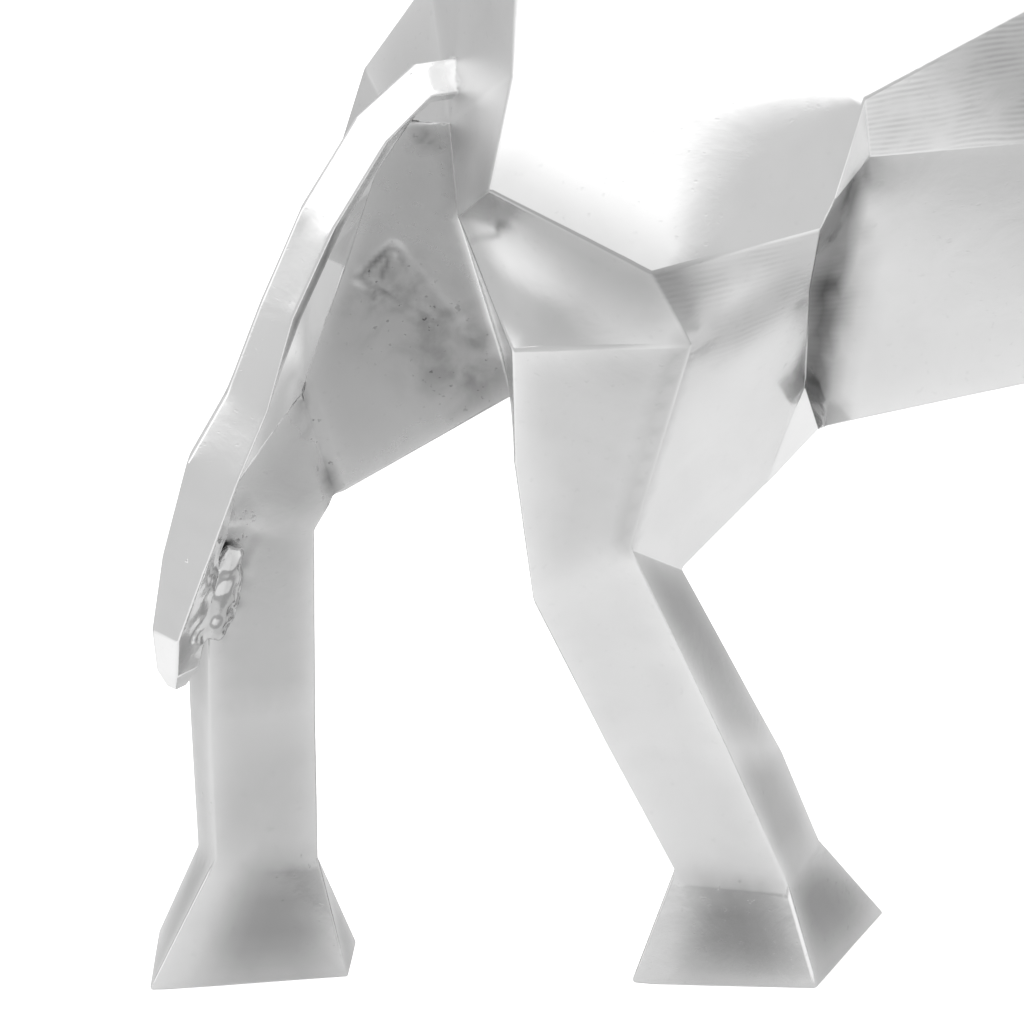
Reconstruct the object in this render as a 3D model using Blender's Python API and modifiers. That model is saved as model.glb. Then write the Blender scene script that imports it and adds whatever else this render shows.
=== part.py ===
"""Walking bull figure, one aluminium casting with the tail, horns and ears cast on.

Sizes are hundredths of the figure's height.
The head points to +X, the left side is +Y, the hoofs stand on z = 0.
"""
import math

import bmesh
import bpy
from mathutils import Vector

FIGURE_HEIGHT = 0.230
SHARE = FIGURE_HEIGHT / 100
EDGE_ROUND = 0.38
EDGE_STEPS = 2
SHARP_ANGLE = 14
HOOF_STRIP = 0.22

RIGHT = -1
LEFT = 1

# Trunk stations from loin to muzzle, each line given as (forward, outward, up)
LINES = ("spine", "ridge", "upper", "middle", "lower", "keel")
TRUNK = {
    "loin": (
        (23, 0, 85.5), (23, 9.5, 83.3), (22, 17, 71.3),
        (23.4, 14.5, 65.9), (22.3, 9.6, 43.4), (22.5, 0, 41.5),
    ),
    "waist": (
        (38, 0, 85), (38, 9.3, 82.8), (36, 16, 76.8),
        (38, 14.6, 65.4), (38, 11.6, 45.7), (38, 0, 43),
    ),
    "ribs": (
        (50, 0, 88), (50, 8.6, 86), (50, 15.6, 80),
        (50, 14.6, 65.6), (50, 12, 46.6), (50, 0, 43),
    ),
    "withers": (
        (61, 0, 96), (61, 7.4, 93.6), (62, 15.2, 83),
        (62, 14.8, 66), (63, 11.8, 46.4), (63, 0, 42.5),
    ),
    "blade": (
        (67, 0, 98.8), (68, 7.2, 96.2), (69, 17.4, 83.6),
        (69, 18.2, 68), None, None,
    ),
    "hump": (
        (77, 0, 100), (78, 7, 97.2), (79, 16.8, 84.4),
        (80, 18.4, 68), None, (78, 0, 42.6),
    ),
    "chest": (
        (89, 0, 97.6), (90, 7, 94.6), (91.5, 14, 82.6),
        (92.5, 14.4, 68), (92, 8.6, 50), (92, 0, 45),
    ),
    "neck": (
        (98.5, 0, 94.2), (99.5, 7, 91.6), (101.5, 11.8, 81.5),
        (102, 10.8, 70), (100.5, 6, 57), (99.5, 0, 53),
    ),
    "poll": (
        (106, 0, 90.6), (106.8, 7.2, 88.8), (107.4, 10.2, 80.5),
        (107, 9.2, 71), (105.8, 5.4, 61.6), (105.2, 0, 59),
    ),
    "brow": (
        (113.5, 0, 85.6), (113.6, 7.6, 83.6), (112.8, 9.4, 76.6),
        (111.6, 8, 68.4), (110.4, 5, 61), (110, 0, 59.2),
    ),
    "nose": (
        (120.6, 0, 75.2), (120.2, 5.2, 74), (118.8, 6.8, 69),
        (117, 6.2, 63.2), (115.4, 4.6, 58), (115, 0, 57),
    ),
    "nostril": (
        (126.8, 0, 66), (126.4, 5.2, 65), (125, 6.6, 61.2),
        (122.8, 6, 57.4), (120.8, 4.7, 54), (120.4, 0, 53.2),
    ),
    "muzzle": (
        (129.4, 0, 62), (129, 4, 61.4), (128, 4.9, 58.4),
        (126.2, 4.6, 55.4), (124.4, 3.4, 52.8), (124, 0, 52.2),
    ),
}

# Rump and haunch corners, the same on both sides
RUMP = {
    "rump_top": (-1.5, 0, 80.8), "croup": (10, 0, 86.3), "croup_ridge": (10, 9.8, 84.2),
    "rump_edge": (-0.4, 8.6, 78.2), "pin": (-1.2, 10.2, 73.3), "buttock": (-3.7, 12.5, 66),
    "haunch": (9.8, 16.6, 71), "stifle": (6.6, 17, 60.3), "flank_low": (19.1, 16.5, 61.7),
    "flank": (20.1, 16.5, 63.8), "vent": (-2.4, 0, 66), "seat": (-3.7, 5.6, 61.4),
    "perineum": (-1.8, 0, 59), "cleft": (1.3, 0, 48.2), "crotch": (2.2, 0, 44.5),
}
# The stretched left leg draws its side of the rump back
RUMP_LEFT = {"pin": (-0.9, 9.7, 73.2), "buttock": (-5, 12.2, 65.9)}

# A leg section: centre, length along the leg's turn, width, turn outward,
# skew of the inner side, rise ahead, rise inward
HIND = {
    RIGHT: {
        "thigh_back": (-1.5, 11, 53.2), "thigh_side": (9.7, 16.5, 54.3), "fold": (14.3, 13, 51.7),
        "fold_low": (10.5, 13, 46.3), "fold_top": (20.1, 12, 55.2), "groin": (21.3, 8, 46),
        "belly_root": (22.4, 8, 42.5), "thigh_front": (19.2, 6, 37.7), "thigh_inner": (9, 1.6, 39.5),
        "calf": (-0.8, 9.4, 43.8),
        "hock": (7.1, 6.7, 32.0, 7.2, 9.6, 34.5, 1.2, 0.7, -0.61),
        "cannon": (14.0, 6.3, 17.6, 8.6, 8.8, 26, 3.2, 0.05, -0.5),
        "fetlock": (18.3, 5.7, 8.0, 8.3, 7.4, 20.4, 2.3, -0.14, 0),
    },
    LEFT: {
        "thigh_back": (-9.9, 10.5, 53.1), "thigh_side": (2.5, 16.2, 50), "fold": (8.5, 13, 48.5),
        "fold_low": (1, 12.8, 43.8), "fold_top": (19.5, 12, 55.2), "groin": (20, 8, 47),
        "belly_root": (22, 8, 43.4), "thigh_front": (6, 7.5, 43.6), "thigh_inner": (-12.8, 2.5, 46.1),
        "web": (-5.2, 0.6, 66.4), "web_mid": (-7.7, 1.5, 62.3), "tail_side": (-9.5, 2.4, 55.1),
        "bend": (-10.4, 2.3, 37.4), "bend_side": (-9.4, 10.4, 39.2),
        "hock": (-15.9, 5.2, 35.8, 8.0, 5.8, 0, 0, -0.2, 0),
        "cannon": (-16, 4.9, 20.6, 8.0, 5.6, -1, 0, -0.05, 0.1),
        "fetlock": (-15.8, 4.8, 8.6, 7.7, 5.8, -3, 0, -0.12, 0.3),
    },
}
FORE = {
    RIGHT: {
        "blade_back": (68, 18, 60), "blade_front": (87.5, 17, 62),
        "elbow": (76, 9.2, 48.5, 14, 11.5, 4, 1, -0.05, -0.1), "knee": (79.2, 8.6, 28, 9.2, 8.6, 6, 1, 0.1, 0),
        "cannon": (77, 8.4, 22, 7.6, 7.4, 8, 1, 0.1, 0), "fetlock": (73.6, 8, 8.6, 8, 7.2, 8, 1, 0.1, 0),
    },
    LEFT: {
        "blade_back": (70, 17.8, 61), "blade_front": (89, 16.6, 61.5),
        "elbow": (82, 9.2, 48.5, 14, 11.5, 4, 1, 0.1, -0.1), "knee": (92.3, 8.4, 29, 9.2, 8.6, 4, 1, 0.25, 0),
        "cannon": (94, 8.2, 22.5, 7.6, 7.4, 4, 1, 0.1, 0), "fetlock": (96.6, 8, 8.8, 8, 7.2, 4, 1, -0.1, 0),
    },
}
# Hoof soles: back outer, front outer, toe, front inner, back inner and heel corners
SOLES = {
    ("hind", RIGHT): ((10.9, 8.8), (21.3, 12.8), (30.1, 3.2), (26.5, -2.4), (15.6, -2.2), (8.7, 7.6)),
    ("hind", LEFT): ((-21.9, 10.5), (-9.8, 11), (-8.4, 4.6), (-10.6, -0.5), (-22.3, 1.4), (-25, 2.1)),
    ("fore", RIGHT): ((70.2, 13.4), (82.4, 14.4), (85.8, 8.2), (82.2, 2.6), (70.6, 2.6), (68.4, 7.4)),
    ("fore", LEFT): ((93, 13.2), (105.2, 14.2), (108.6, 8), (105, 2.6), (93.4, 2.6), (91.2, 7.4)),
}

# Tail section corners as (breadth, thickness): left edge, ridge, right edge and two at the back
RIDGE_CORNER = 1
TAIL_SECTION = ((1.0, -0.1), (-0.35, -0.95), (-1.0, -0.1), (-0.5, 0.85), (0.6, 0.85))
# Tail stations: middle of the bar, half breadth, half thickness, shift of the ridge along the breadth
TAIL = (
    ((2.0, 0.8, 69.0), 1.5, 1.6, 0),
    ((-4.2, 0.7, 69.0), 1.6, 1.6, 0),
    ((-7.9, 0.3, 66.0), 1.8, 1.6, 0),
    ((-11.8, 0.2, 60.0), 1.8, 1.7, 0.05),
    ((-14.8, 0.4, 53.3), 1.7, 1.7, 0.1),
    ((-17.3, 0.5, 46.8), 1.7, 1.8, -0.3),
    ((-19.8, 0.7, 41.8), 2.1, 2.1, -0.3),
    ((-21.5, 0.9, 34.8), 2.2, 2.2, 0.15),
    ((-22.4, 1.0, 29.3), 2.1, 2.1, 0.7),
    ((-22.7, 1.0, 24.8), 0.8, 0.8, 0.7),
)
HORN = (
    ((106.5, 3.5, 86.0), 3.2, 3.2, 0),
    ((108.0, 10.0, 88.0), 3.0, 3.0, 0),
    ((111.0, 16.0, 90.0), 2.4, 2.4, 0),
    ((116.0, 19.5, 94.5), 1.6, 1.6, 0),
    ((120.5, 19.5, 99.0), 0.5, 0.5, 0),
)
EAR = (
    ((104.5, 6.5, 82.5), 2.6, 1.5, 0),
    ((103.5, 12.0, 82.5), 3.2, 1.5, 0),
    ((102.0, 18.0, 81.0), 0.7, 0.6, 0),
)


class Cage:
    """Named corners and the facets between them."""

    def __init__(self):
        self.corners = {}
        self.facets = []

    def put(self, name, side, place):
        forward, outward, up = place
        self.corners[(name, side)] = (forward, outward * side, up)

    def key(self, name, side):
        return (name, side) if (name, side) in self.corners else (name, 0)

    def facet(self, side, *names):
        self.facets.append([self.key(name, side) for name in names])


def section(spec, side):
    """Four corners of a leg section: back outer, front outer, front inner, back inner."""
    forward, outward, up, length, width, turn, skew, rise, lean = spec
    along = Vector((math.cos(math.radians(turn)), math.sin(math.radians(turn))))
    inward = Vector((math.sin(math.radians(turn)), -math.cos(math.radians(turn))))
    corners = []
    for ahead, inner in ((-1, -1), (1, -1), (1, 1), (-1, 1)):
        move = ahead * length / 2 + inner * skew / 2
        across = inner * width / 2
        flat = Vector((forward, outward)) + along * move + inward * across
        corners.append((flat.x, flat.y, up + rise * ahead * length / 2 + lean * across))
    return corners


def strip_face(leg, side):
    """The face whose back edge carries the hoof's narrow strip: inner on the leg stretched back, else outer."""
    return "i" if leg.startswith("hind") and side == LEFT else "o"


def put_section(cage, name, side, spec):
    places = dict(zip(("bo", "fo", "fi", "bi"), section(spec, side)))
    if name.endswith("fetlock"):
        face = strip_face(name, side)
        places["strip"] = Vector(places["b" + face]).lerp(Vector(places["f" + face]), HOOF_STRIP)
    for corner, place in places.items():
        cage.put(name + "_" + corner, side, place)


def tube(cage, side, upper, lower):
    """Outer, front, inner and back facets between two leg sections."""
    ring = ("bo", "fo", "fi", "bi")
    strip = lower + "_strip"
    for first, second in zip(ring, ring[1:] + ring[:1]):
        names = [upper + "_" + first, upper + "_" + second, lower + "_" + second, lower + "_" + first]
        if (strip, side) in cage.corners and first[1] == second[1] == strip_face(lower, side):
            names.insert(3, strip)
        cage.facet(side, *names)


def hoof(cage, side, leg):
    """Flared hoof from the fetlock to a flat sole with six corners, a narrow strip along one back edge."""
    names = [leg + "_sole_" + corner for corner in ("bo", "fo", "toe", "fi", "bi", "heel")]
    for name, (forward, outward) in zip(names, SOLES[(leg, side)]):
        cage.put(name, side, (forward, outward, 0))
    back_outer, front_outer, toe, front_inner, back_inner, heel = names
    tops = [leg + "_fetlock_" + corner for corner in ("bo", "fo", "fi", "bi", "strip")]
    back_out, front_out, front_in, back_in, strip = tops
    cage.facet(side, front_out, front_in, toe, front_outer)
    cage.facet(side, front_in, front_inner, toe)
    if strip_face(leg, side) == "i":
        cage.facet(side, back_out, front_out, front_outer, back_outer)
        cage.facet(side, front_in, strip, back_inner, front_inner)
        cage.facet(side, strip, back_in, heel, back_inner)
        cage.facet(side, back_in, back_out, back_outer, heel)
    else:
        cage.facet(side, back_out, strip, back_outer, heel)
        cage.facet(side, strip, front_out, front_outer, back_outer)
        cage.facet(side, front_in, back_in, back_inner, front_inner)
        cage.facet(side, back_in, back_out, heel, back_inner)
    cage.facet(side, *names)


def trunk(cage):
    stations = list(TRUNK)
    for station, places in TRUNK.items():
        for line, place in zip(LINES, places):
            if place is None:
                continue
            if place[1] == 0:
                cage.put(station + "_" + line, 0, place)
            else:
                cage.put(station + "_" + line, RIGHT, place)
                cage.put(station + "_" + line, LEFT, place)
    for side in (RIGHT, LEFT):
        for back, front in zip(stations, stations[1:]):
            for upper, lower in zip(LINES, LINES[1:]):
                names = (back + "_" + upper, front + "_" + upper, front + "_" + lower, back + "_" + lower)
                if all(cage.key(name, side) in cage.corners for name in names):
                    cage.facet(side, *names)
    face = [("muzzle_" + line, RIGHT if line not in ("spine", "keel") else 0) for line in LINES]
    face += [("muzzle_" + line, LEFT) for line in reversed(LINES[1:-1])]
    cage.facets.append(face)


def rump(cage):
    for name, place in RUMP.items():
        for side in ((0,) if place[1] == 0 else (RIGHT, LEFT)):
            cage.put(name, side, place)
    for name, place in RUMP_LEFT.items():
        cage.put(name, LEFT, place)
    for side in (RIGHT, LEFT):
        cage.facet(side, "rump_top", "rump_edge", "croup_ridge", "croup")
        cage.facet(side, "croup", "croup_ridge", "loin_ridge", "loin_spine")
        cage.facet(side, "rump_edge", "pin", "haunch", "croup_ridge")
        cage.facet(side, "pin", "buttock", "stifle", "haunch")
        cage.facet(side, "haunch", "stifle", "flank_low", "flank", "loin_upper")
        cage.facet(side, "croup_ridge", "haunch", "loin_upper", "loin_ridge")
        cage.facet(side, "rump_top", "vent", "seat", "buttock", "pin", "rump_edge")
    cage.facet(RIGHT, "vent", "perineum", "seat")


def planted_thigh(cage, side):
    """Thigh of the leg under the body."""
    cage.facet(side, "seat", "buttock", "stifle", "thigh_side", "thigh_back")
    cage.facet(side, "thigh_back", "thigh_side", "hind_hock_fo", "hind_hock_bo", "calf")
    cage.facet(side, "thigh_side", "fold_low", "hind_hock_fo")
    cage.facet(side, "fold", "thigh_front", "hind_hock_fi", "fold_low")
    cage.facet(side, "fold_low", "hind_hock_fi", "hind_hock_fo")
    cage.facet(side, "crotch", "loin_keel", "belly_root", "thigh_front", "thigh_inner")
    cage.facet(side, "thigh_inner", "thigh_front", "hind_hock_fi", "hind_hock_bi")
    cage.facet(side, "crotch", "thigh_inner", "hind_hock_bi", "hind_hock_bo", "calf")
    cage.facet(side, "cleft", "crotch", "calf", "thigh_back")
    cage.facet(side, "perineum", "cleft", "thigh_back", "seat")


def pushing_thigh(cage, side):
    """Thigh of the leg stretched back, its inner facets in sight from behind."""
    cage.facet(side, "thigh_back", "thigh_side", "bend_side", "hind_hock_fo", "hind_hock_bo")
    cage.facet(side, "thigh_side", "fold_low", "bend_side")
    cage.facet(side, "fold", "thigh_front", "fold_low")
    cage.facet(side, "fold_low", "thigh_front", "bend", "bend_side")
    cage.facet(side, "bend_side", "bend", "hind_hock_fi", "hind_hock_fo")
    cage.facet(side, "crotch", "loin_keel", "belly_root", "thigh_front")
    cage.facet(side, "crotch", "thigh_front", "bend")
    cage.facet(side, "vent", "perineum", "cleft", "crotch", "bend", "thigh_inner", "tail_side", "web_mid", "web")
    cage.facet(side, "thigh_inner", "bend", "hind_hock_fi", "hind_hock_bi")
    cage.facet(side, "tail_side", "thigh_inner", "hind_hock_bi", "hind_hock_bo", "thigh_back")
    cage.facet(side, "vent", "web", "seat")
    cage.facet(side, "web", "web_mid", "tail_side", "thigh_back", "seat")
    cage.facet(side, "seat", "thigh_back", "buttock")
    cage.facet(side, "buttock", "thigh_back", "thigh_side", "stifle")


def hind_leg(cage, side):
    leg = HIND[side]
    for name, place in leg.items():
        if len(place) == 3:
            cage.put(name, side, place)
        else:
            put_section(cage, "hind_" + name, side, place)
    cage.facet(side, "stifle", "flank_low", "fold_top", "fold", "thigh_side")
    cage.facet(side, "thigh_side", "fold", "fold_low")
    cage.facet(side, "fold_top", "groin", "thigh_front", "fold")
    cage.facet(side, "flank", "flank_low", "fold_top", "groin", "belly_root", "loin_lower", "loin_middle")
    cage.facet(side, "flank", "loin_middle", "loin_upper")
    cage.facet(side, "groin", "belly_root", "thigh_front")
    cage.facet(side, "belly_root", "loin_lower", "loin_keel")
    if side == RIGHT:
        planted_thigh(cage, side)
    else:
        pushing_thigh(cage, side)
    tube(cage, side, "hind_hock", "hind_cannon")
    tube(cage, side, "hind_cannon", "hind_fetlock")
    hoof(cage, side, "hind")


def fore_leg(cage, side):
    leg = FORE[side]
    for name, place in leg.items():
        if len(place) == 3:
            cage.put(name, side, place)
        else:
            put_section(cage, "fore_" + name, side, place)
    cage.facet(side, "withers_middle", "blade_middle", "blade_back")
    cage.facet(side, "blade_middle", "hump_middle", "blade_front", "blade_back")
    cage.facet(side, "hump_middle", "chest_middle", "blade_front")
    cage.facet(side, "withers_middle", "blade_back", "fore_elbow_bo", "withers_lower")
    cage.facet(side, "blade_back", "blade_front", "fore_elbow_fo", "fore_elbow_bo")
    cage.facet(side, "blade_front", "chest_middle", "chest_lower", "fore_elbow_fi", "fore_elbow_fo")
    cage.facet(side, "withers_lower", "fore_elbow_bo", "fore_elbow_bi", "withers_keel")
    cage.facet(side, "withers_keel", "fore_elbow_bi", "fore_elbow_fi", "hump_keel")
    cage.facet(side, "hump_keel", "fore_elbow_fi", "chest_lower", "chest_keel")
    tube(cage, side, "fore_elbow", "fore_knee")
    tube(cage, side, "fore_knee", "fore_cannon")
    tube(cage, side, "fore_cannon", "fore_fetlock")
    hoof(cage, side, "fore")


def body_cage():
    cage = Cage()
    trunk(cage)
    rump(cage)
    for side in (RIGHT, LEFT):
        hind_leg(cage, side)
    for side in (RIGHT, LEFT):
        fore_leg(cage, side)
    return cage


def ring(count):
    """Corners of a regular section, as (breadth, thickness)."""
    angles = [math.tau * (corner + 0.5) / count for corner in range(count)]
    return [(math.cos(angle), math.sin(angle)) for angle in angles]


def bar(stations, profile, lead):
    """A closed bar along a path: a station gives the middle, half breadth, half thickness and ridge shift."""
    count = len(profile)
    corners = []
    facets = []
    for station, (middle, breadth, thickness, shift) in enumerate(stations):
        before = Vector(stations[max(station - 1, 0)][0])
        after = Vector(stations[min(station + 1, len(stations) - 1)][0])
        heading = (after - before).normalized()
        side = lead.cross(heading).normalized()
        out = heading.cross(side)
        for corner, (wide, thick) in enumerate(profile):
            if corner == RIDGE_CORNER:
                wide += shift
            corners.append(Vector(middle) + side * breadth * wide + out * thickness * thick)
        if station:
            first = (station - 1) * count
            for corner in range(count):
                beside = (corner + 1) % count
                facets.append((first + corner, first + beside, first + count + beside, first + count + corner))
    facets.append(tuple(range(count)))
    facets.append(tuple(range(len(corners) - count, len(corners))))
    return corners, facets


def solid(name, corners, facets, crisp_corners=()):
    """A body in metres with its facets facing out and its edges rounded, except the lines left crisp."""
    data = bpy.data.meshes.new(name)
    data.from_pydata([tuple(Vector(corner) * SHARE) for corner in corners], [], facets)
    shape = bmesh.new()
    shape.from_mesh(data)
    bmesh.ops.recalc_face_normals(shape, faces=shape.faces)
    weight = shape.edges.layers.float.new("bevel_weight_edge")
    for edge in shape.edges:
        is_crisp = all(vertex.index in crisp_corners for vertex in edge.verts)
        edge[weight] = edge.calc_face_angle() > math.radians(SHARP_ANGLE) and not is_crisp
    shape.to_mesh(data)
    shape.free()
    body = bpy.data.objects.new(name, data)
    rounding = body.modifiers.new("rounding", "BEVEL")
    rounding.width = EDGE_ROUND * SHARE
    rounding.segments = EDGE_STEPS
    rounding.limit_method = "WEIGHT"
    return body


def mirrored(stations, side):
    return tuple(((place[0], place[1] * side, place[2]),) + tuple(sizes) for place, *sizes in stations)


def extras():
    """Tail, horns and ears as closed bodies that run into the figure."""
    bars = [("tail", bar(TAIL, TAIL_SECTION, Vector((0, 1, 0))))]
    for side, word in ((RIGHT, "right"), (LEFT, "left")):
        bars.append(("horn_" + word, bar(mirrored(HORN, side), ring(6), Vector((0, 0, 1)))))
        bars.append(("ear_" + word, bar(mirrored(EAR, side), ring(4), Vector((1, 0, 0)))))
    bodies = []
    for name, (corners, facets) in bars:
        body = solid(name, corners, facets)
        body.hide_render = True
        body.display_type = "WIRE"
        bodies.append(body)
    return bodies


def figure():
    """The figure's trunk and legs, with tail, horns and ears joined on."""
    cage = body_cage()
    keys = list(cage.corners)
    number = {key: index for index, key in enumerate(keys)}
    facets = [[number[key] for key in facet] for facet in cage.facets]
    hoof_tops = {number[key] for key in keys if "fetlock" in key[0]}
    body = solid("bull", [cage.corners[key] for key in keys], facets, hoof_tops)
    joined = extras()
    for extra in joined:
        union = body.modifiers.new("join " + extra.name, "BOOLEAN")
        union.operation = "UNION"
        union.object = extra
    return body, joined


def centre(body, others):
    """Move the figure so that it stands centred on the origin."""
    bpy.context.view_layer.update()
    shaped = body.evaluated_get(bpy.context.evaluated_depsgraph_get())
    places = [corner.co for corner in shaped.data.vertices]
    for axis in (0, 1):
        middle = (min(place[axis] for place in places) + max(place[axis] for place in places)) / 2
        for part in [body] + others:
            part.location[axis] = -middle


def polished_aluminium():
    material = bpy.data.materials.new("polished_aluminium")
    material.use_nodes = True
    shader = material.node_tree.nodes["Principled BSDF"]
    shader.inputs["Base Color"].default_value = (0.86, 0.86, 0.86, 1)
    shader.inputs["Metallic"].default_value = 1
    shader.inputs["Roughness"].default_value = 0.12
    return material


for leftover in list(bpy.data.objects):
    bpy.data.objects.remove(leftover)
for title in ("Bull sculpture", "Joined pieces"):
    bpy.context.scene.collection.children.link(bpy.data.collections.new(title))

bull, joined_pieces = figure()
bull.data.materials.append(polished_aluminium())
bpy.data.collections["Bull sculpture"].objects.link(bull)
for piece in joined_pieces:
    bpy.data.collections["Joined pieces"].objects.link(piece)
centre(bull, joined_pieces)
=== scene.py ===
import math
import bmesh
import bpy
import numpy as np
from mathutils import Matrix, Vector, noise
from mathutils.bvhtree import BVHTree


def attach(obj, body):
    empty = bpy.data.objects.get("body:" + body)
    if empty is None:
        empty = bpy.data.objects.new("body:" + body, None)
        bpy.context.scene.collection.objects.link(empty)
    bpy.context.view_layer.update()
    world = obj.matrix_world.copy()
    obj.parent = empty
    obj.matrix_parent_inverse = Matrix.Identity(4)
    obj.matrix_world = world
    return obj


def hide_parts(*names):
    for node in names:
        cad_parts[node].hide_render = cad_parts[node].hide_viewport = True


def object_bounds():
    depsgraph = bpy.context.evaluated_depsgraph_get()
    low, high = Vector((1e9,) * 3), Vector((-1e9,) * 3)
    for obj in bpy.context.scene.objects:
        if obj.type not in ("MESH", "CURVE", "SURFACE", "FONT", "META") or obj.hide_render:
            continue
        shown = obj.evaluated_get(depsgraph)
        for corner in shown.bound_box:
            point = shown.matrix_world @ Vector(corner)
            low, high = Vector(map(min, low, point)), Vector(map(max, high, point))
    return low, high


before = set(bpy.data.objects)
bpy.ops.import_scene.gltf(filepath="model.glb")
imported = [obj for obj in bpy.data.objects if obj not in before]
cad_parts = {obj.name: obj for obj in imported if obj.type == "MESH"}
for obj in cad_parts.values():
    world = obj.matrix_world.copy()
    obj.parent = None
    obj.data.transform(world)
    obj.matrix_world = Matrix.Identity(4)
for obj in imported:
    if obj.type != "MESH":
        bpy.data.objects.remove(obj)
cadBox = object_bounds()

right, left = -1, 1  # the sides of the bull; its head points to +X
figureHeight = (cadBox[1] - cadBox[0]).z
share = figureHeight / 100  # the shape's numbers are hundredths of the height

# how the cast body is meshed, in millimetres
body = {
    "edgeRound": 1.05, "soleRound": 1.5, "roundLimit": 3, "roundShare": 0.3, "edgeSegments": 4,
    "sharpAngle": 14,  # degrees; flatter edges aren't rounded
    "cell": 2.7, "longestCell": 1.4, "splitRounds": 8,  # an edge is split while longer than 1.4 cells
    "crown": 0.006, "relax": 240, "soften": 160, "hoofStrip": 0.22,
    "hold": 0.06, "softHold": 0.04, "softFade": 0.5, "softSpots": ((9, -17, 70, 26), (9, 17, 70, 26)),
}
# the same for what is let into it: tail, weld, horns and ears
fittedPart = dict(body, cell=1.7, relax=60, soften=6, crown=0.004)

trunkLines = ("spine", "ridge", "upper", "middle", "lower", "keel")
trunkStations = {  # (forward, outward, up) along each line, from the loin to the muzzle
    "loin": ((23, 0, 85.5), (23, 9.5, 83.3), (22, 17, 71.3), (23.4, 14.5, 65.9), (22.3, 9.6, 43.4),
             (22.5, 0, 41.5)),
    "waist": ((38, 0, 85), (38, 9.3, 82.8), (36, 16, 76.8), (38, 14.6, 65.4), (38, 11.6, 45.7), (38, 0, 43)),
    "ribs": ((50, 0, 88), (50, 8.6, 86), (50, 15.6, 80), (50, 14.6, 65.6), (50, 12, 46.6), (50, 0, 43)),
    "withers": ((61, 0, 96), (61, 7.4, 93.6), (62, 15.2, 83), (62, 14.8, 66), (63, 11.8, 46.4),
                (63, 0, 42.5)),
    "blade": ((67, 0, 98.8), (68, 7.2, 96.2), (69, 17.4, 83.6), (69, 18.2, 68), None, None),
    "hump": ((77, 0, 100), (78, 7, 97.2), (79, 16.8, 84.4), (80, 18.4, 68), None, (78, 0, 42.6)),
    "chest": ((89, 0, 97.6), (90, 7, 94.6), (91.5, 14, 82.6), (92.5, 14.4, 68), (92, 8.6, 50), (92, 0, 45)),
    "neck": ((98.5, 0, 94.2), (99.5, 7, 91.6), (101.5, 11.8, 81.5), (102, 10.8, 70), (100.5, 6, 57),
             (99.5, 0, 53)),
    "poll": ((106, 0, 90.6), (106.8, 7.2, 88.8), (107.4, 10.2, 80.5), (107, 9.2, 71), (105.8, 5.4, 61.6),
             (105.2, 0, 59)),
    "brow": ((113.5, 0, 85.6), (113.6, 7.6, 83.6), (112.8, 9.4, 76.6), (111.6, 8, 68.4), (110.4, 5, 61),
             (110, 0, 59.2)),
    "nose": ((120.6, 0, 75.2), (120.2, 5.2, 74), (118.8, 6.8, 69), (117, 6.2, 63.2), (115.4, 4.6, 58),
             (115, 0, 57)),
    "nostril": ((126.8, 0, 66), (126.4, 5.2, 65), (125, 6.6, 61.2), (122.8, 6, 57.4), (120.8, 4.7, 54),
                (120.4, 0, 53.2)),
    "muzzle": ((129.4, 0, 62), (129, 4, 61.4), (128, 4.9, 58.4), (126.2, 4.6, 55.4), (124.4, 3.4, 52.8),
               (124, 0, 52.2)),
}
rumpCorners = {
    "rumpTop": (-1.5, 0, 80.8), "croup": (10, 0, 86.3), "croupRidge": (10, 9.8, 84.2),
    "rumpEdge": (-0.4, 8.6, 78.2), "pin": (-1.2, 10.2, 73.3), "buttock": (-3.7, 12.5, 66),
    "haunch": (9.8, 16.6, 71), "stifle": (6.6, 17, 60.3), "flankLow": (19.1, 16.5, 61.7),
    "flank": (20.1, 16.5, 63.8), "vent": (-2.4, 0, 66), "seat": (-3.7, 5.6, 61.4),
    "perineum": (-1.8, 0, 59), "cleft": (1.3, 0, 48.2), "crotch": (2.2, 0, 44.5),
}
rumpLeft = {"pin": (-0.9, 9.7, 73.2), "buttock": (-5, 12.2, 65.9)}  # drawn back by the stretched leg
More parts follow.
